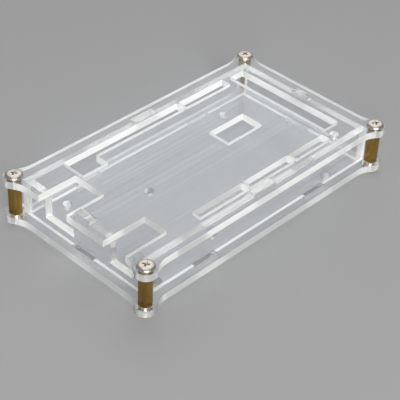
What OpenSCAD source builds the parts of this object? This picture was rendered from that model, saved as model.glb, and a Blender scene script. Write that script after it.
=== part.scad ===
/* [Case] */
// Thickness of the clear sheet that every panel is cut from
sheet = 2.8; // [2:0.1:4]
// Length between the end walls, inside
inner_l = 102.8; // [102:0.1:112]
// Width between the side walls, inside
inner_w = 53.6; // [53.4:0.1:60]
// Height between the two plates, which is the length of the corner posts
post_h = 12; // [10:0.5:24]
// How far the plates reach beyond the outside of the walls
rim = 2.9; // [2:0.1:6]
// Radius of the round ear at each corner of a plate
ear_r = 3.8; // [3.6:0.1:6]
// Radius of the inward curve between an ear and the straight edge
blend_r = 10; // [4:0.5:16]

/* [Walls] */
// Length of a tab on a side wall, and of the lower tab on an end wall
tab_l = 10; // [6:0.5:14]
// Length of the upper tab on an end wall
end_tab_l = 7; // [4:0.5:8]
// Distance from the middle of a side wall to each of its lower tabs
tab_shift = 27.2; // [18:0.2:34]
// Gap all round a tab in its slot
tab_gap = 0.2; // [0.1:0.05:0.3]
// Gap between the end of an end wall and the side wall
wall_gap = 0.1; // [0.05:0.05:0.3]

/* [Posts] */
// Size of a hexagonal post across its flats
post_af = 4.5; // [4.5:0.1:5.5]
// Chamfer on the corners at both ends of a post
post_chamfer = 0.3; // [0.1:0.1:0.4]
// How far each post is turned, in the order of their numbers
post_turns = [41, 28, 45, 49]; // [0:1:60]
// Gap between the corner of a post and the corner of the wall box
post_gap = 0.1; // [0.05:0.05:1]

/* [Screws] */
// Diameter of the screw thread
thread_d = 3; // [2.5:0.1:3.2]
// Gap all round a thread in its post
thread_gap = 0.05; // [0.02:0.01:0.1]
// Gap all round a screw in a plate
screw_gap = 0.1; // [0.05:0.05:0.3]
// Length of a screw under its head
screw_l = 6; // [5:0.5:7]
// Diameter of a screw head
head_d = 6.2; // [5:0.1:7]
// Height of a screw head
head_h = 1.3; // [1:0.1:2.6]
// Height of the upright side of a screw head
head_side = 0.4; // [0.3:0.1:0.8]
// Diameter of the flat on top of a screw head
head_flat_d = 2.8; // [1.6:0.1:3.4]
// Length of each bar of the cross recess
recess_l = 3.2; // [2.4:0.1:3.6]
// Width of each bar of the cross recess
recess_w = 0.7; // [0.5:0.1:1]
// Depth of the cross recess
recess_depth = 0.9; // [0.6:0.1:1]

/* [Port openings] */
// Place of the middle of the square port, across the case
usb_y = 11.1; // [10:0.1:12]
// Width of the opening over the square port
usb_w = 13.8; // [12.2:0.1:15]
// How far that opening reaches in from the plate's edge
usb_depth = 16.1; // [12:0.1:17]
// Place of the middle of the round port, across the case
jack_y = -18.35; // [-19:0.05:-17]
// Width of the opening over the round port
jack_w = 10.1; // [9.2:0.1:11]
// How far that opening reaches in from the plate's edge
jack_depth = 17.7; // [12:0.1:19]
// Height of the sill under both ports, above the lower plate
sill_h = 3.8; // [2:0.1:6]

/* [Header openings] */
// Place of the long back slot, across the case
back_slot_y = 24.05; // [23.8:0.05:24.2]
// Width of the long back slot
back_slot_w = 4.1; // [3:0.1:4.2]
// End of the back slot on the port side
back_slot_start = -39.2; // [-39.4:0.1:-38]
// End of the back slot on the far side
back_slot_end = 37.9; // [34:0.1:39]
// Middle of the thin bar that divides the back slot
back_bar_x = 14.6; // [8:0.1:20]
// Length of the wide part at the start of the back slot
pocket_l = 10.9; // [6:0.1:14]
// Inner edge of that wide part, across the case
pocket_y = 16.2; // [12:0.1:19]
// Place of the front slot, across the case
front_slot_y = -23.9; // [-24.2:0.05:-23.2]
// Width of the front slot
front_slot_w = 3.6; // [3:0.1:3.8]
// End of the front slot on the port side
front_slot_start = -26.5; // [-32:0.1:-20]
// End of the front slot on the far side
front_slot_end = 38; // [34:0.1:38.5]
// Middle of the first thin bar across the front slot
front_bar_1_x = -3.1; // [-8:0.1:4]
// Middle of the second thin bar across the front slot
front_bar_2_x = 19.85; // [14:0.05:26]
// Width of every thin bar left across a slot
slot_bar = 1; // [0.8:0.1:2]
// Middle of the double slot at the far end
end_slot_x = 44.8; // [44.6:0.1:45.4]
// Width of the double slot
end_slot_w = 7; // [5.4:0.1:7.4]
// Length of the double slot
end_slot_l = 46; // [40:0.5:46.5]
// Middle of the double slot, across the case
end_slot_y = 2.3; // [1.5:0.1:2.5]

/* [Window and holes] */
// Middle of the window along the case
window_x = 18.55; // [14:0.05:24]
// Middle of the window across the case
window_y = 1.05; // [-4:0.05:4]
// Length of the window
window_l = 16.9; // [12:0.1:20]
// Width of the window
window_w = 9.1; // [6:0.1:12]
// Diameter of the holes for the board's own screws
board_hole_d = 3.2; // [2.8:0.1:3.4]

/* [Hidden] */
$fn = 48;

// Outside of the box of walls, from the middle
wall_x = inner_l / 2 + sheet;
wall_y = inner_w / 2 + sheet;
// Straight edges of a plate, from the middle
edge_x = wall_x + rim;
edge_y = wall_y + rim;
// Corner posts stand diagonally outside the corners of the walls
post_r = post_af / sqrt(3);
post_out = (post_r + post_gap) * sin(45);
post_x = wall_x + post_out;
post_y = wall_y + post_out;
// Heights: the case stands on its lower screw heads
floor_plate_z = head_h;
inside_z = floor_plate_z + sheet;
roof_plate_z = inside_z + post_h;
roof_z = roof_plate_z + sheet;
// A cut runs past both faces by this much
past = 1;
// Steps round the edge of a screw head, round an ear and along an inward curve
dome_steps = 6;
ear_steps = 28;
blend_steps = 10;
// Places of the holes for the board's screws in the lower plate
board_holes = [[-40.8, 22.9], [-16.7, 7.9], [36.4, 23], [36.4, -24.9], [-46.2, -24.9], [-16.2, -20]];
// Place of the single round hole beside the front slot in the upper plate
lone_hole = [41.3, -24.8];
// Corners in the order of the numbered posts and screws
corners = [[-1, -1], [1, -1], [1, 1], [-1, 1]];

clear_sheet = [0.85, 0.9, 0.92, 0.35];
brass = [0.78, 0.6, 0.25];
nickel = [0.75, 0.73, 0.7];

// Points along an arc about a centre, from one angle to another
function arc(centre, r, from, to, steps) =
  [for (step = [0:steps]) let (turn = from + (to - from) * step / steps)
    centre + r * [cos(turn), sin(turn)]];

// How far along its straight edge an inward curve starts from the ear's middle
function blend_run(rise) = sqrt(pow(ear_r + blend_r, 2) - rise * rise);

// One corner of a plate: inward curve, round ear, inward curve
function corner_points() =
  let (end_rise = edge_x + blend_r - post_x, end_run = blend_run(end_rise),
       side_rise = edge_y + blend_r - post_y, side_run = blend_run(side_rise),
       end_turn = atan2(end_run, end_rise), side_turn = atan2(side_run, side_rise))
  concat(arc([edge_x + blend_r, post_y - end_run], blend_r, 180, 180 - end_turn, blend_steps),
         arc([post_x, post_y], ear_r, -end_turn, 90 + side_turn, ear_steps),
         arc([post_x - side_run, edge_y + blend_r], blend_r, side_turn - 90, -90, blend_steps));

function flipped(points, sides) =
  [for (point = points) [point[0] * sides[0], point[1] * sides[1]]];

function backwards(points) = [for (place = [len(points) - 1:-1:0]) points[place]];

module plate_outline() {
  quarter = corner_points();
  polygon(concat(quarter, backwards(flipped(quarter, [-1, 1])), flipped(quarter, [-1, -1]),
                 backwards(flipped(quarter, [1, -1]))));
}

// A slot between two places along the case
module slot_x(from, to, y, w) {
  translate([from, y - w / 2]) square([to - from, w]);
}

// Opening in a plate for one tab, with its gap all round
module tab_slot(x, y, l, w) {
  translate([x - l / 2 - tab_gap, y - w / 2 - tab_gap]) square([l + 2 * tab_gap, w + 2 * tab_gap]);
}

module side_tab_slots(shifts) {
  for (side = [-1, 1], shift = shifts)
    tab_slot(shift, side * (wall_y - sheet / 2), tab_l, sheet);
}

module end_tab_slots(l) {
  for (side = [-1, 1])
    tab_slot(side * (wall_x - sheet / 2), 0, sheet, l);
}

// Notches that let the two tall ports reach through the upper plate
module port_notches() {
  translate([-edge_x - past, usb_y - usb_w / 2]) square([usb_depth + past, usb_w]);
  translate([-edge_x - past, jack_y - jack_w / 2]) square([jack_depth + past, jack_w]);
}

// Slots over the rows of pin headers
module header_slots() {
  slot_x(back_slot_start, back_bar_x - slot_bar / 2, back_slot_y, back_slot_w);
  slot_x(back_bar_x + slot_bar / 2, back_slot_end, back_slot_y, back_slot_w);
  translate([back_slot_start, pocket_y]) square([pocket_l, back_slot_y - pocket_y]);
  slot_x(front_slot_start, front_bar_1_x - slot_bar / 2, front_slot_y, front_slot_w);
  slot_x(front_bar_1_x + slot_bar / 2, front_bar_2_x - slot_bar / 2, front_slot_y, front_slot_w);
  slot_x(front_bar_2_x + slot_bar / 2, front_slot_end, front_slot_y, front_slot_w);
  translate([end_slot_x - end_slot_w / 2, end_slot_y - end_slot_l / 2]) square([end_slot_w, end_slot_l]);
}

module window() {
  translate([window_x - window_l / 2, window_y - window_w / 2]) square([window_l, window_w]);
}

// Corner holes that the screws pass through
module corner_bores(z) {
  for (corner = corners)
    translate([corner[0] * post_x, corner[1] * post_y, z - past])
      cylinder(d = thread_d + 2 * screw_gap, h = sheet + 2 * past);
}

module top_plate() {
  color(clear_sheet)
  difference() {
    translate([0, 0, roof_plate_z]) linear_extrude(sheet) difference() {
      plate_outline();
      port_notches();
      header_slots();
      window();
      side_tab_slots([0]);
      end_tab_slots(end_tab_l);
    }
    corner_bores(roof_plate_z);
    translate([lone_hole[0], lone_hole[1], roof_plate_z - past])
      cylinder(d = board_hole_d, h = sheet + 2 * past);
  }
}

module bottom_plate() {
  color(clear_sheet)
  difference() {
    translate([0, 0, floor_plate_z]) linear_extrude(sheet) difference() {
      plate_outline();
      side_tab_slots([-tab_shift, tab_shift]);
      end_tab_slots(tab_l);
    }
    corner_bores(floor_plate_z);
    for (place = board_holes)
      translate([place[0], place[1], floor_plate_z - past])
        cylinder(d = board_hole_d, h = sheet + 2 * past);
  }
}

// Flat panel of a wall, drawn lying down: along it, and up from the lower plate
module wall_outline(l, lower_tabs, upper_l) {
  translate([-l / 2, 0]) square([l, post_h]);
  for (shift = lower_tabs)
    translate([shift - tab_l / 2, -sheet]) square([tab_l, 2 * sheet]);
  translate([-upper_l / 2, post_h - sheet]) square([upper_l, 2 * sheet]);
}

// Stands a panel up with its outside face at the given distance in front of the middle
module stand_up(out) {
  translate([0, sheet - out, inside_z]) rotate([90, 0, 0]) linear_extrude(sheet) children();
}

module side_wall() {
  stand_up(wall_y) wall_outline(2 * wall_x, [-tab_shift, tab_shift], tab_l);
}

module front_wall() {
  color(clear_sheet) side_wall();
}

module back_wall() {
  color(clear_sheet) rotate([0, 0, 180]) side_wall();
}

// The wall at the ports has two gaps that open at its top
module port_wall() {
  color(clear_sheet)
  rotate([0, 0, -90]) stand_up(wall_x) difference() {
    wall_outline(inner_w - 2 * wall_gap, [0], end_tab_l);
    translate([-usb_y - usb_w / 2, sill_h]) square([usb_w, post_h]);
    translate([-jack_y - jack_w / 2, sill_h]) square([jack_w, post_h]);
  }
}

module end_wall() {
  color(clear_sheet)
  rotate([0, 0, 90]) stand_up(wall_x) wall_outline(inner_w - 2 * wall_gap, [0], end_tab_l);
}

module at_corner(number) {
  translate([corners[number - 1][0] * post_x, corners[number - 1][1] * post_y, 0]) children();
}

// Hexagonal post with both ends chamfered, tapped right through
module post(number) {
  color(brass)
  at_corner(number) translate([0, 0, inside_z])
  difference() {
    intersection() {
      rotate([0, 0, post_turns[number - 1]]) cylinder(r = post_r, h = post_h, $fn = 6);
      rotate_extrude() polygon([[0, 0], [post_r - post_chamfer, 0], [post_r, post_chamfer],
        [post_r, post_h - post_chamfer], [post_r - post_chamfer, post_h], [0, post_h]]);
    }
    translate([0, 0, -past]) cylinder(d = thread_d + 2 * thread_gap, h = post_h + 2 * past);
  }
}

// Rounded side of a screw head, from its upright edge to its flat top
function dome_point(step) =
  let (turn = 90 * step / dome_steps)
  [head_flat_d / 2 + (head_d - head_flat_d) / 2 * cos(turn), head_side + (head_h - head_side) * sin(turn)];

// Screw standing on its shank, with the underside of its head at height zero
module screw() {
  color(nickel)
  difference() {
    union() {
      rotate_extrude() polygon(concat([[0, 0], [head_d / 2, 0]],
        [for (step = [0:dome_steps]) dome_point(step)], [[0, head_h]]));
      translate([0, 0, -screw_l]) cylinder(d = thread_d, h = screw_l + head_side);
    }
    for (turn = [0, 90])
      rotate([0, 0, turn]) translate([-recess_l / 2, -recess_w / 2, head_h - recess_depth])
        cube([recess_l, recess_w, recess_depth + past]);
  }
}

module top_screw(number) {
  at_corner(number) translate([0, 0, roof_z]) rotate([0, 0, 30 * number]) screw();
}

module bottom_screw(number) {
  at_corner(number) translate([0, 0, floor_plate_z]) rotate([180, 0, 20 * number]) screw();
}

top_plate();
bottom_plate();
front_wall();
back_wall();
port_wall();
end_wall();
post(1);  // post_1
post(2);  // post_2
post(3);  // post_3
post(4);  // post_4
top_screw(1);  // top_screw_1
top_screw(2);  // top_screw_2
top_screw(3);  // top_screw_3
top_screw(4);  // top_screw_4
bottom_screw(1);  // bottom_screw_1
bottom_screw(2);  // bottom_screw_2
bottom_screw(3);  // bottom_screw_3
bottom_screw(4);  // bottom_screw_4
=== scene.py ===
"""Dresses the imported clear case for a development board.

Six sheet parts, four hexagonal posts and eight pan screws stand for the CAD nodes at the same places. The
classes hold their sizes in millimetres, and the meshes are made in metres, in the frame of the CAD.
"""

import logging
import math
from dataclasses import dataclass
from enum import Enum
from typing import Callable, Sequence

import bmesh
import bpy
from mathutils import Matrix, Vector


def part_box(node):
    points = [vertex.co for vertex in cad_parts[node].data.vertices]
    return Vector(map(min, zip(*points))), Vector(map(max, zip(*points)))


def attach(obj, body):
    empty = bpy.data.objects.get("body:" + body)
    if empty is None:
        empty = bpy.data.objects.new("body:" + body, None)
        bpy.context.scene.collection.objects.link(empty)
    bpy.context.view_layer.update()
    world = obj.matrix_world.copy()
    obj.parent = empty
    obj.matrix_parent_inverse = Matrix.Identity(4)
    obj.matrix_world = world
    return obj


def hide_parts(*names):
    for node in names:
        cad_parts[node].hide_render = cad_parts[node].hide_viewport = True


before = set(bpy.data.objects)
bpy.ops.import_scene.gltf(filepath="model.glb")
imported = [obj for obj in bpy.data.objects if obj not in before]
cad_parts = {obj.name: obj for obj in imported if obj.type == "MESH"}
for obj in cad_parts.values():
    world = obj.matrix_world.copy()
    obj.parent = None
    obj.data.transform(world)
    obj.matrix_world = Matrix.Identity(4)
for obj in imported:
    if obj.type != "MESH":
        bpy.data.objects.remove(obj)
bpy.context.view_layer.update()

MM = 0.001
BODY = "root"
TINY = 0.01
LOG = logging.getLogger("clear_case")

Point = tuple[float, float, float]
Place = tuple[float, float]
FaceTest = Callable[[Vector, Vector], bool]


class Side(Enum):
    """The way that the outer face of an upright strip looks."""

    FRONT = -90.0
    FAR = 0.0
    BACK = 90.0
    PORT = 180.0


class Cut(Enum):
    """Kinds of face of a part cut from the sheet, in the order of a part's finishes."""

    FLAT = "flat"
    PLAIN = "plain"
    CLEAR = "clear"
    EAR = "ear"
    BORE = "bore"
    # Bottom faces of the strips, made milky white as painted light where they stand on the plate.
    LIT_FOOT = "lit_foot"


CutTest = Callable[[Vector, Vector], Cut]


@dataclass(frozen=True)
class CaseSizes:
    """Sizes that the parts share, in millimetres, as in the part's source."""

    sheet: float = 2.8
    post_h: float = 12.0
    head_h: float = 1.3
    wall_x: float = 54.2
    wall_y: float = 29.6
    edge_x: float = 57.1
    edge_y: float = 32.5
    post_x: float = 56.1079
    post_y: float = 31.5079
    ear_r: float = 3.8
    blend_r: float = 10.0
    tab_gap: float = 0.2
    screw_hole_r: float = 1.6

    @property
    def inside_z(self) -> float:
        """Height of the inside face of the lower plate."""
        return self.head_h + self.sheet

    @property
    def roof_plate_z(self) -> float:
        """Height of the inside face of the upper plate."""
        return self.inside_z + self.post_h

    @property
    def roof_z(self) -> float:
        """Height of the outside face of the upper plate."""
        return self.roof_plate_z + self.sheet

    def corners(self) -> list[Place]:
        """Returns the places of the four posts, in the order of their numbers."""
        return [(x * self.post_x, y * self.post_y) for x, y in ((-1, -1), (1, -1), (1, 1), (-1, 1))]


SIZES = CaseSizes()


class Bench:
    """Operator calls on one piece, made as by hand."""

    @staticmethod
    def clear() -> None:
        """Leaves nothing selected."""
        bpy.ops.object.select_all(action="DESELECT")

    @staticmethod
    def take(piece: bpy.types.Object) -> None:
        """Makes a piece the only selected one, and the active one."""
        Bench.clear()
        piece.select_set(True)
        bpy.context.view_layer.objects.active = piece

    @staticmethod
    def edit(piece: bpy.types.Object) -> None:
        """Opens a piece in edit mode."""
        Bench.take(piece)
        bpy.ops.object.mode_set(mode="EDIT")

    @staticmethod
    def leave() -> None:
        """Goes back to object mode."""
        bpy.ops.object.mode_set(mode="OBJECT")

    @staticmethod
    def named(name: str) -> bpy.types.Object:
        """Names the active piece and puts its place into its mesh.

        Args:
            name: The piece's name, also its mesh's.

        Returns:
            The active piece.
        """
        piece = bpy.context.object
        piece.name = piece.data.name = name
        bpy.ops.object.transform_apply(location=True, rotation=True, scale=True)
        return piece

    @staticmethod
    def box(name: str, low: Point, high: Point) -> bpy.types.Object:
        """Adds a box between two corners, in millimetres.

        Args:
            name: The box's name.
            low: Its lowest corner.
            high: Its highest corner.

        Returns:
            The box, with its place in its mesh.
        """
        Bench.clear()
        middle = [(a + b) / 2 * MM for a, b in zip(low, high)]
        bpy.ops.mesh.primitive_cube_add(size=1, location=middle, scale=[(b - a) * MM for a, b in zip(low, high)])
        return Bench.named(name)

    @staticmethod
    def rod(name: str, place: Place, radius: float, low: float, high: float, sides: int) -> bpy.types.Object:
        """Adds an upright rod, in millimetres, as a cutter or a start.

        Args:
            name: The rod's name.
            place: Its middle, seen from above.
            radius: Its radius to the corners.
            low: Height of its lower end.
            high: Height of its upper end.
            sides: How many sides it has.

        Returns:
            The rod, with its place in its mesh.
        """
        Bench.clear()
        bpy.ops.mesh.primitive_cylinder_add(
            vertices=sides, radius=radius * MM, depth=(high - low) * MM,
            location=(place[0] * MM, place[1] * MM, (low + high) / 2 * MM))
        return Bench.named(name)

    @staticmethod
    def turned(name: str, profile: Sequence[Place], steps: int) -> bpy.types.Object:
        """Turns a solid about the upright axis by extruding and resizing its end ring after ring.

        Args:
            name: The solid's name.
            profile: Height and radius of each ring, from the lower end to the upper, in millimetres.
            steps: How many sides each ring has.

        Returns:
            The closed solid.
        """
        Bench.clear()
        (height, radius), *rings = profile
        bpy.ops.mesh.primitive_circle_add(
            vertices=steps, radius=radius * MM, fill_type="NGON", location=(0, 0, height * MM))
        piece = Bench.named(name)
        Bench.edit(piece)
        bpy.ops.mesh.select_all(action="SELECT")
        for next_height, next_radius in rings:
            bpy.ops.mesh.extrude_region_move(
                TRANSFORM_OT_translate={"value": (0, 0, (next_height - height) * MM)})
            scale = next_radius / radius
            bpy.ops.transform.resize(value=(scale, scale, 1), center_override=(0, 0, next_height * MM))
            height, radius = next_height, next_radius
        bpy.ops.mesh.select_all(action="SELECT")
        bpy.ops.mesh.normals_make_consistent(inside=False)
        Bench.leave()
        return piece

    @staticmethod
    def pick(piece: bpy.types.Object, test: FaceTest) -> int:
        """Selects the faces that pass a test, in edit mode.

        Args:
            piece: The piece, open in edit mode.
            test: Takes a face's middle in millimetres and its normal.

        Returns:
            How many faces are selected.
        """
        bpy.ops.mesh.select_mode(type="FACE")
        bpy.ops.mesh.select_all(action="DESELECT")
        mesh = bmesh.from_edit_mesh(piece.data)
        found = [face for face in mesh.faces if test(face.calc_center_median() / MM, face.normal)]
        for face in found:
            face.select_set(True)
        bmesh.update_edit_mesh(piece.data)
        return len(found)

    @staticmethod
    def cut_along(places: Sequence[float], axis: int) -> None:
        """Cuts the piece that is open in edit mode across an axis at each place.

        Args:
            places: Where the cuts are along the axis, in millimetres.
            axis: 0 along the case, 1 across it, 2 upwards.
        """
        normal = [float(axis == number) for number in range(3)]
        for place in places:
            bpy.ops.mesh.select_all(action="SELECT")
            bpy.ops.mesh.bisect(plane_co=[part * place * MM for part in normal], plane_no=normal)

    @staticmethod
    def join(pieces: Sequence[bpy.types.Object]) -> bpy.types.Object:
        """Joins pieces into the first of them and returns it."""
        Bench.take(pieces[0])
        for piece in pieces[1:]:
            piece.select_set(True)
        bpy.ops.object.join()
        return pieces[0]

    @staticmethod
    def combine(piece: bpy.types.Object, tool: bpy.types.Object, operation: str) -> None:
        """Cuts a piece with a tool, or keeps what both share, and throws the tool away.

        Args:
            piece: The piece that is changed.
            tool: The other solid.
            operation: DIFFERENCE, INTERSECT or UNION.
        """
        Bench.take(piece)
        modifier = piece.modifiers.new("cut", "BOOLEAN")
        modifier.operation, modifier.solver, modifier.object = operation, "EXACT", tool
        modifier.use_self = True
        bpy.ops.object.modifier_apply(modifier=modifier.name)
        bpy.data.objects.remove(tool)

    @staticmethod
    def soften(piece: bpy.types.Object, width: float, segments: int, sharp: float = 30.0) -> None:
        """Breaks the sharp edges of a piece.

        Args:
            piece: The piece.
            width: Width of the broken edge, in millimetres.
            segments: How many faces go round it.
            sharp: Least angle of an edge that is broken, in degrees.
        """
        Bench.take(piece)
        modifier = piece.modifiers.new("edges", "BEVEL")
        modifier.width, modifier.segments = width * MM, segments
        modifier.limit_method, modifier.angle_limit = "ANGLE", math.radians(sharp)
        modifier.use_clamp_overlap = True
        bpy.ops.object.modifier_apply(modifier=modifier.name)

    @staticmethod
    def tidy(piece: bpy.types.Object) -> None:
        """Merges doubled points and takes out the cuts that lie in a flat face."""
        Bench.edit(piece)
        bpy.ops.mesh.select_all(action="SELECT")
        bpy.ops.mesh.remove_doubles(threshold=TINY * MM / 10)
        bpy.ops.mesh.dissolve_limited(angle_limit=math.radians(0.5))
        Bench.leave()

    @staticmethod
    def smooth(piece: bpy.types.Object, angle: float = 30.0) -> None:
        """Smooths the shading over edges of less than an angle, in degrees."""
        Bench.take(piece)
        bpy.ops.object.shade_smooth_by_angle(angle=math.radians(angle), keep_sharp_edges=False)

    @staticmethod
    def copy_to(master: bpy.types.Object, name: str, matrix: Matrix) -> bpy.types.Object:
        """Copies a piece with its own mesh and puts the copy's place into that mesh.

        Args:
            master: The piece that is copied.
            name: The copy's name.
            matrix: Where the copy goes.

        Returns:
            The copy.
        """
        Bench.take(master)
        bpy.ops.object.duplicate(linked=False)
        bpy.context.object.matrix_world = matrix
        return Bench.named(name)


class NodeDesk:
    """Makes the node tree of one finish."""

    def __init__(self, name: str) -> None:
        """Starts a finish with one Principled shader.

        Args:
            name: The finish's name.
        """
        self.material = bpy.data.materials.new(name)
        self.material.use_nodes = True
        self.tree = self.material.node_tree
        self.tree.nodes.clear()
        self.output = self.add("ShaderNodeOutputMaterial")
        self.shader = self.add("ShaderNodeBsdfPrincipled")
        self.link(self.shader.outputs["BSDF"], self.output.inputs["Surface"])
        self.place = self.add("ShaderNodeTexCoord").outputs["Object"]

    def add(self, kind: str, **values: object) -> bpy.types.Node:
        """Adds a node and sets its inputs by their names, with spaces as underscores."""
        node = self.tree.nodes.new(kind)
        for name, value in values.items():
            node.inputs[name.replace("_", " ")].default_value = value
        return node

    def link(self, source: bpy.types.NodeSocket, target: bpy.types.NodeSocket) -> None:
        """Links an output to an input."""
        self.tree.links.new(source, target)

    def set(self, **values: object) -> None:
        """Sets the shader's own sockets."""
        for name, value in values.items():
            self.shader.inputs[name.replace("_", " ")].default_value = value

    def noise(self, scale: Point, detail: float = 3.0) -> bpy.types.NodeSocket:
        """Adds a noise pattern fixed to the piece.

        Args:
            scale: Waves per metre along, across and up.
            detail: How much fine detail it has.

        Returns:
            The pattern's output, about 0.5 on average.
        """
        mapping = self.add("ShaderNodeMapping", Scale=scale)
        pattern = self.add("ShaderNodeTexNoise", Scale=1.0, Detail=detail)
        self.link(self.place, mapping.inputs["Vector"])
        self.link(mapping.outputs["Vector"], pattern.inputs["Vector"])
        return pattern.outputs["Fac"]

    def spread(self, source: bpy.types.NodeSocket, low: float, high: float) -> bpy.types.NodeSocket:
        """Spreads the middle of a pattern over a range of numbers.

        Args:
            source: The pattern.
            low: The number where the pattern is weak.
            high: The number where it is strong.

        Returns:
            The number's output.
        """
        node = self.add("ShaderNodeMapRange", From_Min=0.3, From_Max=0.7, To_Min=low, To_Max=high)
        self.link(source, node.inputs["Value"])
        return node.outputs["Result"]

    def blend(self, factor: bpy.types.NodeSocket, first: Point, second: Point) -> bpy.types.NodeSocket:
        """Blends two colours by a pattern.

        Args:
            factor: The pattern.
            first: Colour where it is weak.
            second: Colour where it is strong.

        Returns:
            The colour's output.
        """
        node = self.add("ShaderNodeMix")
        node.data_type = "RGBA"
        for socket, colour in ((node.inputs[6], first), (node.inputs[7], second)):
            socket.default_value = (*colour, 1)
        self.link(self.spread(factor, 0, 1), node.inputs[0])
        return node.outputs[2]

    def bump(self, source: bpy.types.NodeSocket, height: float, strength: float = 1.0) -> None:
        """Raises the surface by a pattern.

        Args:
            source: The pattern.
            height: How high it is, in millimetres.
            strength: Share of that height that shows.
        """
        node = self.add("ShaderNodeBump", Strength=strength, Distance=height * MM)
        self.link(source, node.inputs["Height"])
        self.link(node.outputs["Normal"], self.shader.inputs["Normal"])

    def let_lamps_through(self, colour: Point) -> None:
        """Lets the light of the lamps pass the sheet, so that it casts a pale shadow.

        Args:
            colour: Share of the light that passes each face.
        """
        rays = self.add("ShaderNodeLightPath")
        clear = self.add("ShaderNodeBsdfTransparent", Color=(*colour, 1))
        mix = self.add("ShaderNodeMixShader")
        self.link(rays.outputs["Is Shadow Ray"], mix.inputs[0])
        self.link(self.shader.outputs["BSDF"], mix.inputs[1])
        self.link(clear.outputs["BSDF"], mix.inputs[2])
        self.link(mix.outputs["Shader"], self.output.inputs["Surface"])


@dataclass(frozen=True)
class ClearSheet:
    """Polished face of the clear sheet, with faint waves and streaks in its tint: the streaks are partly wiping
    marks and partly painted reflection, standing for the streaks in the sheen.
    """

    name: str = "clear_sheet_face"
    tint: Point = (0.92, 0.93, 0.935)
    wiping_and_sheen_tint: Point = (0.82, 0.83, 0.84)
    ior: float = 1.49
    glass_share: float = 0.95

    def make(self) -> bpy.types.Material:
        """Returns the finish."""
        desk = NodeDesk(self.name)
        desk.set(IOR=self.ior, Transmission_Weight=self.glass_share)
        # Painted reflection: the darker streaks in the tint stand for the light and dark streaks of the sheen, and
        # are partly real wiping marks.
        wiping_and_sheen_pattern = desk.noise((6, 700, 700), 3)
        desk.link(desk.blend(wiping_and_sheen_pattern, self.tint, self.wiping_and_sheen_tint), desk.shader.inputs["Base Color"])
        marks = desk.noise((30, 160, 30), 4)
        desk.link(desk.spread(marks, 0.005, 0.03), desk.shader.inputs["Roughness"])
        desk.bump(desk.noise((45, 70, 60), 1), 0.01)
        desk.let_lamps_through((0.93, 0.94, 0.95))
        return desk.material


@dataclass(frozen=True)
class CutFace:
    """Laser-cut face of the sheet: milky white, with fine lines across its thickness."""

    name: str
    lines: Point
    glass_share: float
    tint: Point = (0.97, 0.98, 0.96)
    smooth: float = 0.12
    rough: float = 0.26
    relief: float = 0.004
    shine: float = 0.5
    ior: float = 1.49

    def make(self) -> bpy.types.Material:
        """Returns the finish."""
        desk = NodeDesk(self.name)
        desk.set(Base_Color=(*self.tint, 1), IOR=self.ior, Transmission_Weight=self.glass_share)
        desk.set(Specular_IOR_Level=self.shine)
        lines = desk.noise(self.lines, 2)
        desk.link(desk.spread(lines, self.smooth, self.rough), desk.shader.inputs["Roughness"])
        desk.bump(lines, self.relief)
        desk.let_lamps_through((0.9, 0.905, 0.905))
        return desk.material


@dataclass(frozen=True)
class BrassBar:
    """Drawn brass bar with lines along it and a little tarnish."""

    name: str = "drawn_brass"
    bright: Point = (0.40, 0.25, 0.06)
    dull: Point = (0.20, 0.12, 0.027)

    def make(self) -> bpy.types.Material:
        """Returns the finish."""
        desk = NodeDesk(self.name)
        desk.set(Metallic=0.8)
        tarnish = desk.noise((250, 250, 90), 2)
        desk.link(desk.blend(tarnish, self.bright, self.dull), desk.shader.inputs["Base Color"])
        lines = desk.noise((5000, 5000, 60), 2)
        desk.link(desk.spread(lines, 0.14, 0.24), desk.shader.inputs["Roughness"])
        desk.bump(lines, 0.002)
        return desk.material


@dataclass(frozen=True)
class NickelPlate:
    """Bright nickel plating with small marks."""

    name: str = "nickel_plating"
    bright: Point = (0.90, 0.84, 0.75)
    dull: Point = (0.73, 0.67, 0.59)
    smooth: float = 0.2
    rough: float = 0.36

    def make(self) -> bpy.types.Material:
        """Returns the finish."""
        desk = NodeDesk(self.name)
        desk.set(Metallic=1.0)
        marks = desk.noise((900, 900, 900), 5)
        desk.link(desk.blend(marks, self.bright, self.dull), desk.shader.inputs["Base Color"])
        desk.link(desk.spread(marks, self.smooth, self.rough), desk.shader.inputs["Roughness"])
        desk.bump(desk.noise((2500, 2500, 2500), 2), 0.004)
        return desk.material


@dataclass(frozen=True)
class PaleFloor:
    """Plain pale floor with a very faint grain."""

    name: str = "pale_floor"
    light: Point = (0.47, 0.47, 0.473)
    dark: Point = (0.455, 0.455, 0.458)

    def make(self) -> bpy.types.Material:
        """Returns the finish."""
        desk = NodeDesk(self.name)
        desk.set(Roughness=0.6)
        grain = desk.noise((8, 8, 8), 2)
        desk.link(desk.blend(grain, self.light, self.dark), desk.shader.inputs["Base Color"])
        return desk.material


def hand_in(piece: bpy.types.Object, node: str) -> None:
    """Lets a finished piece stand for its CAD node.

    Args:
        piece: The finished piece.
        node: The CAD node that it stands for.
    """
    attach(piece, BODY)
    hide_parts(node)
    low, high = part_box(node)
    LOG.info("%s stands for %s, %.1f mm high", piece.name, node, (high.z - low.z) / MM)


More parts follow.
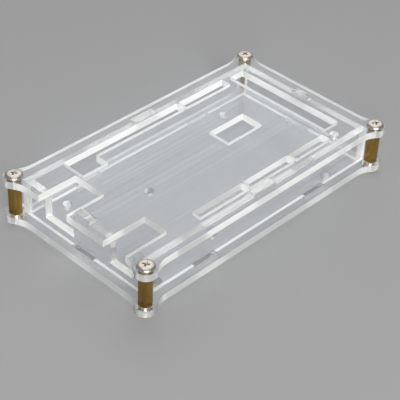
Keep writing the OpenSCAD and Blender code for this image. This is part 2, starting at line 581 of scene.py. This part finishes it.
@dataclass
class SheetWork:
    """What every part cut from the clear sheet shares: its finishes and its broken edges."""

    slot: str = "clear_acrylic"
    edge_break: float = 0.12
    face_share: float = 0.8
    curve_angle: float = 15.0
    line_rate: float = 2200.0

    def __post_init__(self) -> None:
        """Makes the finish of the flat faces. The cut faces' are made when a part needs them."""
        self.flat = ClearSheet().make()
        self.cuts: dict[str, bpy.types.Material] = {}

    def looks(self, kind: Cut, normal: str) -> dict[str, object]:
        """Returns what sets a kind of cut face apart, above all how much of it is glass.

        Args:
            kind: The kind.
            normal: The axis along the sheet's thickness.
        """
        plain_shares = {"x": 0.66, "y": 0.45, "z": 0.4}
        polish = {"smooth": 0.05, "rough": 0.12}
        return {
            Cut.PLAIN: {"glass_share": plain_shares[normal]},
            Cut.CLEAR: {"glass_share": 0.88, "tint": (0.93, 0.925, 0.90), "relief": 0.0012, **polish},
            Cut.EAR: {"glass_share": 0.7, "shine": 0.12},
            Cut.BORE: {"glass_share": 0.87, **polish},
            # The milkiest finish, for the bottom faces of the strips: painted light for the bright line where they
            # stand on the plate.
            Cut.LIT_FOOT: {"glass_share": 0.3}}[kind]

    def finish(self, kind: Cut, normal: str) -> bpy.types.Material:
        """Returns the finish of a kind of face, with the cut lines running across the thickness.

        Args:
            kind: The kind.
            normal: The axis along the sheet's thickness.
        """
        if kind is Cut.FLAT:
            return self.flat
        name = f"{kind.value}_cut_{normal}"
        if name not in self.cuts:
            lines = tuple(0.0 if normal == axis else self.line_rate for axis in "xyz")
            self.cuts[name] = CutFace(name, lines, **self.looks(kind, normal)).make()
        return self.cuts[name]

    def dress(self, piece: bpy.types.Object, normal: str, choose: CutTest) -> None:
        """Breaks a part's edges and gives its flat and its cut faces their finishes.

        Args:
            piece: The part.
            normal: The axis along the sheet's thickness, x, y or z.
            choose: Tells the kind of a cut face from its middle in millimetres and its normal.
        """
        Bench.tidy(piece)
        Bench.soften(piece, self.edge_break, 2)
        axis = "xyz".index(normal)
        polygons = piece.data.polygons
        kinds = [
            choose(polygon.center / MM, polygon.normal) if abs(polygon.normal[axis]) < self.face_share else Cut.FLAT
            for polygon in polygons]
        used = [kind for kind in Cut if kind in kinds]
        piece.data.materials.clear()
        for kind in used:
            piece.data.materials.append(self.finish(kind, normal))
        for polygon, kind in zip(polygons, kinds):
            polygon.material_index = used.index(kind)
        Bench.smooth(piece, self.curve_angle)


@dataclass
class EaredPlate:
    """A flat plate with a round ear at each corner, cut right through by slots, notches and holes."""

    name: str
    node: str
    low: float
    openings: Sequence[tuple[Place, Place]]
    tab_slots: Sequence[tuple[Place, Place]]
    holes: Sequence[Place]
    past: float = 1.0
    margin: float = 0.2
    ear_steps: int = 28
    blend_steps: int = 10
    hole_steps: int = 48

    def outline_quarter(self) -> list[tuple[Place, float, int]]:
        """Finds the three curves of one corner.

        Returns:
            Centre, turn in degrees and steps of the inward curve on the end, the ear, and the inward curve
            on the side.
        """
        reach = SIZES.ear_r + SIZES.blend_r
        end_rise = SIZES.edge_x + SIZES.blend_r - SIZES.post_x
        side_rise = SIZES.edge_y + SIZES.blend_r - SIZES.post_y
        end_run, side_run = math.sqrt(reach**2 - end_rise**2), math.sqrt(reach**2 - side_rise**2)
        end_turn = math.degrees(math.atan2(end_run, end_rise))
        side_turn = math.degrees(math.atan2(side_run, side_rise))
        return [
            ((SIZES.edge_x + SIZES.blend_r, SIZES.post_y - end_run), -end_turn, self.blend_steps),
            ((SIZES.post_x, SIZES.post_y), 90 + end_turn + side_turn, self.ear_steps),
            ((SIZES.post_x - side_run, SIZES.edge_y + SIZES.blend_r), -side_turn, self.blend_steps)]

    def draw_corner(self) -> bpy.types.Object:
        """Draws one corner's curve by spinning a point about each centre in turn.

        Returns:
            A chain of edges at the height of the plate's lower face.
        """
        curves = self.outline_quarter()
        Bench.clear()
        bpy.ops.mesh.primitive_plane_add(size=MM, location=(SIZES.edge_x * MM, curves[0][0][1] * MM, self.low * MM))
        chain = Bench.named(self.name)
        Bench.edit(chain)
        bpy.ops.mesh.select_mode(type="VERT")
        bpy.ops.mesh.select_all(action="SELECT")
        bpy.ops.mesh.merge(type="CENTER")
        for (x, y), turn, steps in curves:
            bpy.ops.mesh.spin(
                steps=steps, angle=math.radians(turn), center=(x * MM, y * MM, self.low * MM), axis=(0, 0, -1))
        Bench.leave()
        return chain

    def close_outline(self, plate: bpy.types.Object) -> None:
        """Mirrors the corner both ways, joins the four by their straight edges and fills the outline."""
        modifier = plate.modifiers.new("mirror", "MIRROR")
        modifier.use_axis = (True, True, False)
        Bench.take(plate)
        bpy.ops.object.modifier_apply(modifier=modifier.name)
        Bench.edit(plate)
        bpy.ops.mesh.select_mode(type="VERT")
        mesh = bmesh.from_edit_mesh(plate.data)
        ends = [point for point in mesh.verts if len(point.link_edges) == 1]
        for axis in (0, 1):
            for side in (-1, 1):
                edge = (SIZES.edge_x, SIZES.edge_y)[axis] * side
                bpy.ops.mesh.select_all(action="DESELECT")
                for point in ends:
                    if abs(point.co[axis] / MM - edge) < TINY:
                        point.select_set(True)
                bpy.ops.mesh.edge_face_add()
        bpy.ops.mesh.select_all(action="SELECT")
        bpy.ops.mesh.edge_face_add()
        bpy.ops.mesh.extrude_region_move(TRANSFORM_OT_translate={"value": (0, 0, SIZES.sheet * MM)})
        bpy.ops.mesh.select_all(action="SELECT")
        bpy.ops.mesh.normals_make_consistent(inside=False)
        Bench.leave()

    def cutters(self) -> bpy.types.Object:
        """Returns all slots and holes as one tool that reaches past both faces."""
        low, high = self.low - self.past, self.low + SIZES.sheet + self.past
        cuts = [*self.openings, *self.tab_slots]
        tools = [Bench.box("slot", (*start, low), (*end, high)) for start, end in cuts]
        tools += [
            Bench.rod("hole", place, SIZES.screw_hole_r, low, high, self.hole_steps)
            for place in [*self.holes, *SIZES.corners()]]
        return Bench.join(tools)

    def build(self, work: SheetWork) -> None:
        """Makes the plate and lets it stand for its node."""
        plate = self.draw_corner()
        self.close_outline(plate)
        Bench.combine(plate, self.cutters(), "DIFFERENCE")
        work.dress(plate, "z", self.kind_of_cut)
        hand_in(plate, self.node)

    def kind_of_cut(self, middle: Vector, normal: Vector) -> Cut:
        """Tells the walls of holes and tab slots and the round of the ears from the other cut faces.

        Args:
            middle: The face's middle, in millimetres.
            normal: Its normal.

        Returns:
            Clear for a screw's hole or a tab slot, bore for a board hole, ear or plain.
        """
        def near(places: Sequence[Place], reach: float) -> bool:
            """Tells whether the face lies within reach of one of the places."""
            return any(math.hypot(middle.x - x, middle.y - y) < reach for x, y in places)

        in_slot = any(
            start[0] - self.margin < middle.x < end[0] + self.margin
            and start[1] - self.margin < middle.y < end[1] + self.margin
            for start, end in self.tab_slots)
        hole_reach, ear_reach = SIZES.screw_hole_r + self.margin / 2, SIZES.ear_r + self.margin / 2
        if in_slot or near(SIZES.corners(), hole_reach):
            return Cut.CLEAR
        if near(self.holes, hole_reach):
            return Cut.BORE
        return Cut.EAR if near(SIZES.corners(), ear_reach) else Cut.PLAIN


@dataclass
class Strip:
    """An upright strip with tabs above and below, and gaps open at its top.

    Lengths are measured along the strip from its middle, seen from outside with the left end first.
    """

    name: str
    node: str
    side: Side
    half: float
    out: float
    lower_tabs: Sequence[Place]
    upper_tabs: Sequence[Place]
    gaps: Sequence[Place] = ()
    sill: float = 0.0
    seat: float = 0.015

    def cuts(self) -> list[float]:
        """Returns the ends of every tab and gap."""
        return sorted({place for run in (*self.lower_tabs, *self.upper_tabs, *self.gaps) for place in run})

    def grow(self, strip: bpy.types.Object, runs: Sequence[Place], level: float, rise: float) -> None:
        """Extrudes the part of an edge that lies in some runs.

        Args:
            strip: The strip, open in edit mode and drawn along the x axis.
            runs: Start and end of each run.
            level: Height of the edge.
            rise: How far it goes, down if below zero.
        """
        Bench.pick(strip, lambda middle, normal: (
            normal.z * rise > TINY and abs(middle.z - level) < TINY
            and any(start < middle.x < end for start, end in runs)))
        bpy.ops.mesh.extrude_region_move(TRANSFORM_OT_translate={"value": (0, 0, rise * MM)})

    def stand(self, strip: bpy.types.Object) -> None:
        """Turns the drawn strip to its side of the case."""
        turn = Matrix.Rotation(math.radians(self.side.value + 90), 4, "Z")
        strip.matrix_world = turn
        Bench.take(strip)
        bpy.ops.object.transform_apply(location=True, rotation=True, scale=True)

    def build(self, work: SheetWork) -> None:
        """Makes the strip and lets it stand for its node."""
        low, high = SIZES.inside_z + self.seat, SIZES.roof_plate_z - self.seat
        start = SIZES.inside_z + self.sill if self.gaps else high
        strip = Bench.box(self.name, (-self.half, -self.out, low), (self.half, SIZES.sheet - self.out, start))
        Bench.edit(strip)
        Bench.cut_along(self.cuts(), 0)
        if self.gaps:
            ends = [-self.half, *[place for gap in self.gaps for place in gap], self.half]
            self.grow(strip, list(zip(ends[::2], ends[1::2])), start, high - start)
        self.grow(strip, self.upper_tabs, high, SIZES.roof_z - high)
        self.grow(strip, self.lower_tabs, low, SIZES.head_h - low)
        Bench.leave()
        self.stand(strip)
        axis = "y" if self.side in (Side.FRONT, Side.BACK) else "x"
        work.dress(strip, axis, self.kind_of_cut)
        hand_in(strip, self.node)

    def kind_of_cut(self, middle: Vector, normal: Vector) -> Cut:
        """Tells the strip's tops, tabs and lower edge from its other cut faces.

        Args:
            middle: The face's middle, in millimetres.
            normal: Its normal.

        Returns:
            Clear for tops, tabs and gaps; the milkiest finish, a painted light, for the edge between the lower tabs
            where the strip stands on the plate; plain otherwise.
        """
        in_plate = middle.z > SIZES.roof_plate_z or middle.z < SIZES.inside_z
        at_gap = bool(self.gaps) and abs(middle.y) < self.half - SIZES.sheet and normal.z > -0.5
        if in_plate or at_gap or normal.z > 0.5:
            return Cut.CLEAR
        # Faces that look down get the milkiest, whitest finish: painted light for the bright line where the strip
        # stands on the plate.
        return Cut.LIT_FOOT if normal.z < -0.5 else Cut.PLAIN


@dataclass
class HexPosts:
    """The four hexagonal brass posts, tapped right through."""

    slot: str = "brass"
    across_flats: float = 4.5
    chamfer: float = 0.3
    bore_r: float = 1.55
    thread_r: float = 1.6
    pitch: float = 0.5
    seat: float = 0.015
    edge_break: float = 0.12
    turns: Sequence[float] = (41.0, 28.0, 45.0, 49.0)

    def make_master(self) -> bpy.types.Object:
        """Makes one post about the upright axis with a corner on the x axis, chamfered and tapped.

        Returns:
            The post, at its height.
        """
        radius = self.across_flats / math.sqrt(3)
        low, high = SIZES.inside_z + self.seat, SIZES.roof_plate_z - self.seat
        Bench.clear()
        bpy.ops.mesh.primitive_cylinder_add(
            vertices=6, radius=radius * MM, depth=(high - low) * MM, location=(0, 0, (low + high) / 2 * MM),
            rotation=(0, 0, math.radians(30)))
        post = Bench.named("post_master")
        blank = Bench.turned("blank", [
            (low - TINY, radius - self.chamfer), (low + self.chamfer, radius + TINY),
            (high - self.chamfer, radius + TINY), (high + TINY, radius - self.chamfer)], 96)
        Bench.combine(post, blank, "INTERSECT")
        Bench.combine(post, self.make_tap(low, high), "DIFFERENCE")
        Bench.tidy(post)
        Bench.soften(post, self.edge_break, 2)
        Bench.smooth(post)
        return post

    def make_tap(self, low: float, high: float) -> bpy.types.Object:
        """Makes the tool that cuts the bore, ring after ring.

        Args:
            low: Height of the post's lower end.
            high: Height of its upper end.

        Returns:
            The tool, wider at both ends.
        """
        lead = 0.3
        turns = int((high - low - 2 * lead) / self.pitch)
        start = (low + high) / 2 - turns * self.pitch / 2
        rings = [(low - lead, self.thread_r + 2 * lead), (low + lead / 2, self.bore_r)]
        for turn in range(turns):
            height = start + turn * self.pitch
            rings += [(height + self.pitch / 4, self.bore_r), (height + self.pitch / 2, self.thread_r),
                      (height + self.pitch * 3 / 4, self.bore_r)]
        rings += [(high - lead / 2, self.bore_r), (high + lead, self.thread_r + 2 * lead)]
        return Bench.turned("tap", rings, 32)

    def build(self) -> None:
        """Makes the posts and lets them stand for their nodes."""
        master = self.make_master()
        master.data.materials.append(BrassBar().make())
        for number, ((x, y), turn) in enumerate(zip(SIZES.corners(), self.turns), 1):
            matrix = Matrix.Translation((x * MM, y * MM, 0)) @ Matrix.Rotation(math.radians(turn), 4, "Z")
            post = Bench.copy_to(master, f"brass_post_{number}", matrix)
            hand_in(post, f"post_{number}")
        bpy.data.objects.remove(master)


@dataclass
class PanScrews:
    """The eight pan screws with cross recess."""

    slot: str = "nickel"
    thread_r: float = 1.5
    core_r: float = 1.22
    pitch: float = 0.5
    length: float = 6.0
    head_r: float = 3.1
    head_h: float = 1.3
    head_side: float = 0.4
    flat_r: float = 1.4
    recess_l: float = 3.2
    recess_w: float = 0.75
    recess_depth: float = 0.9
    seat: float = 0.015
    dome_steps: int = 10
    steps: int = 48
    # Darker colours for the thread: painted shade of the shank down in its hole.
    thread_shade_tints: tuple[Point, Point] = ((0.40, 0.37, 0.33), (0.28, 0.26, 0.23))
    # Darker colours for the cross recess: painted shade inside the recess.
    recess_shade_tints: tuple[Point, Point] = ((0.56, 0.51, 0.45), (0.43, 0.39, 0.34))

    def profile(self) -> list[Place]:
        """Returns height and radius of each ring, from the shank's tip to the flat of the head."""
        lead = self.thread_r - self.core_r
        rings = [(-self.length, self.core_r - lead / 2), (-self.length + lead, self.core_r + lead / 2)]
        turns = int((self.length - 1) / self.pitch)
        for turn in range(turns):
            height = -self.length + lead + turn * self.pitch
            rings += [(height + self.pitch / 4, self.core_r), (height + self.pitch / 2, self.core_r),
                      (height + self.pitch * 3 / 4 + TINY, self.thread_r),
                      (height + self.pitch - TINY, self.thread_r)]
        rings += [(-0.35, self.core_r + lead / 2), (self.seat, self.core_r + lead / 2),
                  (self.seat, self.head_r - 0.15), (self.seat + 0.15, self.head_r)]
        for step in range(self.dome_steps + 1):
            turn = math.pi / 2 * step / self.dome_steps
            rings.append((self.head_side + (self.head_h - self.head_side) * math.sin(turn),
                          self.flat_r + (self.head_r - self.flat_r) * math.cos(turn)))
        return rings

    def make_driver(self) -> bpy.types.Object:
        """Returns the tool that cuts the cross recess: two tapered blades."""
        blades = []
        for turn in (0, 90):
            low, high = self.head_h - self.recess_depth, self.head_h + 0.5
            half_l, half_w = self.recess_l / 2, self.recess_w / 2
            blade = Bench.box("blade", (-half_l, -half_w, low), (half_l, half_w, high))
            Bench.edit(blade)
            Bench.pick(blade, lambda middle, normal: normal.z < -0.5)
            bpy.ops.transform.resize(value=(0.42, 0.7, 1), center_override=(0, 0, low * MM))
            Bench.leave()
            blade.matrix_world = Matrix.Rotation(math.radians(turn), 4, "Z")
            Bench.take(blade)
            bpy.ops.object.transform_apply(location=True, rotation=True, scale=True)
            blades.append(blade)
        Bench.combine(blades[0], blades[1], "UNION")
        Bench.tidy(blades[0])
        return blades[0]

    def make_master(self) -> bpy.types.Object:
        """Returns one screw standing on its shank, with the underside of its head at height zero."""
        screw = Bench.turned("screw_master", self.profile(), self.steps)
        Bench.combine(screw, self.make_driver(), "DIFFERENCE")
        Bench.smooth(screw, 35)
        screw.data.materials.append(NickelPlate().make())
        # The thread's darker colour is painted shade for the shank in its hole; its higher roughness is the duller
        # thread.
        screw.data.materials.append(NickelPlate("nickel_thread_shaded", *self.thread_shade_tints, 0.5, 0.65).make())
        # The recess's darker colour is painted shade inside the cross recess.
        screw.data.materials.append(NickelPlate("nickel_recess_shaded", *self.recess_shade_tints, 0.4, 0.6).make())
        # Thread and recess faces get the darker finishes, painted shade in the hole and in the cross recess.
        for polygon in screw.data.polygons:
            height, radius = polygon.center.z / MM, polygon.center.xy.length / MM
            in_thread = height < 0 and radius < self.thread_r
            in_recess = self.seat < height < self.head_h - self.recess_depth / 10 and radius < self.flat_r
            polygon.material_index = 1 if in_thread else 2 if in_recess else 0
        return screw

    def build(self) -> None:
        """Makes the screws and lets them stand for their nodes."""
        master = self.make_master()
        for number, (x, y) in enumerate(SIZES.corners(), 1):
            upper = Matrix.Translation((x * MM, y * MM, SIZES.roof_z * MM)) @ Matrix.Rotation(
                math.radians(30 * number), 4, "Z")
            lower = Matrix.Translation((x * MM, y * MM, SIZES.head_h * MM)) @ Matrix.Rotation(
                math.radians(20 * number), 4, "Z") @ Matrix.Rotation(math.pi, 4, "X")
            for kind, matrix in (("top", upper), ("bottom", lower)):
                screw = Bench.copy_to(master, f"pan_screw_{kind}_{number}", matrix)
                hand_in(screw, f"{kind}_screw_{number}")
        bpy.data.objects.remove(master)


def side_tab_slots(shifts: Sequence[float], length: float) -> list[tuple[Place, Place]]:
    """Finds the slots for the tabs of both side walls.

    Args:
        shifts: Middle of each tab along the case.
        length: Length of a tab.

    Returns:
        Lowest and highest corner of each slot, seen from above.
    """
    half, gap = length / 2 + SIZES.tab_gap, SIZES.tab_gap
    inner, outer = SIZES.wall_y - SIZES.sheet - gap, SIZES.wall_y + gap
    return [((shift - half, min(side * inner, side * outer)), (shift + half, max(side * inner, side * outer)))
            for side in (-1, 1) for shift in shifts]


def end_tab_slots(length: float) -> list[tuple[Place, Place]]:
    """Finds the slots for the tabs of the port wall and the end wall.

    Args:
        length: Length of a tab.

    Returns:
        Lowest and highest corner of each slot, seen from above.
    """
    half, gap = length / 2 + SIZES.tab_gap, SIZES.tab_gap
    inner, outer = SIZES.wall_x - SIZES.sheet - gap, SIZES.wall_x + gap
    return [((min(side * inner, side * outer), -half), (max(side * inner, side * outer), half)) for side in (-1, 1)]


def make_plates() -> list[EaredPlate]:
    """Returns the two plates, with their cut-outs."""
    past_edge = SIZES.edge_x + 1
    openings = [
        ((-past_edge, 4.2), (-41.0, 18.0)),
        ((-past_edge, -23.4), (-39.4, -13.3)),
        ((-39.2, 22.0), (14.1, 26.1)),
        ((-39.2, 16.2), (-28.3, 24.05)),
        ((15.1, 22.0), (37.9, 26.1)),
        ((-26.5, -25.7), (-3.6, -22.1)),
        ((-2.6, -25.7), (19.35, -22.1)),
        ((20.35, -25.7), (38.0, -22.1)),
        ((41.3, -20.7), (48.3, 25.3)),
        ((10.1, -3.5), (27.0, 5.6))]
    upper = EaredPlate(
        "plate_upper", "top_plate", SIZES.roof_plate_z,
        openings, [*side_tab_slots([0], 10), *end_tab_slots(7)], [(41.3, -24.8)])
    lower = EaredPlate(
        "plate_lower", "bottom_plate", SIZES.head_h,
        [], [*side_tab_slots([-27.2, 27.2], 10), *end_tab_slots(10)],
        [(-40.8, 22.9), (-16.7, 7.9), (36.4, 23), (36.4, -24.9), (-46.2, -24.9), (-16.2, -20)])
    return [upper, lower]


def make_strips() -> list[Strip]:
    """Returns the four walls."""
    inside_y = SIZES.wall_y - SIZES.sheet
    long_tabs = [(-32.2, -22.2), (22.2, 32.2)]
    short = {"half": inside_y - 0.1, "out": SIZES.wall_x, "lower_tabs": [(-5, 5)], "upper_tabs": [(-3.5, 3.5)]}
    long = {"half": SIZES.wall_x, "out": SIZES.wall_y, "lower_tabs": long_tabs, "upper_tabs": [(-5, 5)]}
    return [
        Strip("strip_front", "front_wall", Side.FRONT, **long),
        Strip("strip_back", "back_wall", Side.BACK, **long),
        Strip("strip_port", "port_wall", Side.PORT, **short, gaps=[(-18.0, -4.2), (13.3, 23.4)], sill=3.8),
        Strip("strip_end", "end_wall", Side.FAR, **short)]


@dataclass
class Studio:
    """Floor, soft lamps and the camera at the photo's angle."""

    camera_place: Point = (-262.0116, -242.5742, 272.9135)
    camera_turn: Point = (52.29598, -2.16895, -45.60682)
    lens: float = 115.2166
    sensor: float = 36.0
    floor_size: float = 6.0
    level: float = 0.2
    glow: float = 0.98
    glow_turn: float = 42.0
    glow_rise: float = 43.0
    glow_width: float = 40.0

    def lay_floor(self) -> None:
        """Lays the floor under the screw heads."""
        Bench.clear()
        bpy.ops.mesh.primitive_plane_add(size=self.floor_size, location=(0, 0, 0))
        floor = Bench.named("studio_floor")
        floor.data.materials.append(PaleFloor().make())

    def hang_lamp(self, name: str, place: Point, size: float, power: float) -> None:
        """Hangs a soft square lamp that looks at the case.

        Args:
            name: The lamp's name.
            place: Where it hangs, in metres.
            size: Length of its side, in metres.
            power: Its power, in watts.
        """
        lamp = bpy.data.lights.new(name, "AREA")
        lamp.shape, lamp.size, lamp.energy = "SQUARE", size, power
        holder = bpy.data.objects.new(name, lamp)
        holder.location = place
        holder.rotation_euler = (-Vector(place)).to_track_quat("-Z", "Y").to_euler()
        bpy.context.scene.collection.objects.link(holder)

    def set_world(self) -> None:
        """Gives the world an even pale light, with a soft glow at the back that the sheet mirrors."""
        world = bpy.data.worlds.new("studio")
        world.use_nodes = True
        tree = world.node_tree
        background = tree.nodes["Background"]
        background.inputs["Color"].default_value = (0.99, 0.99, 1.0, 1)
        place = tree.nodes.new("ShaderNodeTexCoord")
        aim = tree.nodes.new("ShaderNodeVectorMath")
        aim.operation = "DOT_PRODUCT"
        turn, rise = math.radians(self.glow_turn), math.radians(self.glow_rise)
        aim.inputs[1].default_value = (
            math.cos(rise) * math.cos(turn), math.cos(rise) * math.sin(turn), math.sin(rise))
        fade = tree.nodes.new("ShaderNodeMapRange")
        fade.interpolation_type = "SMOOTHSTEP"
        fade.inputs["From Min"].default_value = math.cos(math.radians(self.glow_width))
        fade.inputs["To Min"].default_value = self.level
        fade.inputs["To Max"].default_value = self.glow
        tree.links.new(place.outputs["Generated"], aim.inputs[0])
        tree.links.new(aim.outputs["Value"], fade.inputs["Value"])
        tree.links.new(fade.outputs["Result"], background.inputs["Strength"])
        bpy.context.scene.world = world

    def set_camera(self) -> None:
        """Sets the camera as the photo was taken."""
        lens = bpy.data.cameras.new("photo_camera")
        lens.lens, lens.sensor_width, lens.sensor_fit = self.lens, self.sensor, "HORIZONTAL"
        lens.clip_start, lens.clip_end = 0.01, 20
        camera = bpy.data.objects.new("photo_camera", lens)
        camera.location = [part * MM for part in self.camera_place]
        camera.rotation_euler = [math.radians(part) for part in self.camera_turn]
        bpy.context.scene.collection.objects.link(camera)
        bpy.context.scene.camera = camera

    def build(self) -> None:
        """Makes the whole studio."""
        self.lay_floor()
        self.set_world()
        self.hang_lamp("lamp_key", (-0.95, -1.25, 0.78), 1.1, 27.5)
        self.hang_lamp("lamp_top", (0.1, 0.1, 1.7), 1.2, 2.5)
        self.set_camera()
        bpy.context.scene.view_settings.view_transform = "Standard"


def main() -> None:
    """Builds the studio and every piece in order."""
    logging.basicConfig(level=logging.INFO, format="%(name)s: %(message)s")
    Studio().build()
    work = SheetWork()
    for part in [*make_plates(), *make_strips()]:
        part.build(work)
    HexPosts().build()
    PanScrews().build()


if __name__ == "__main__":
    main()
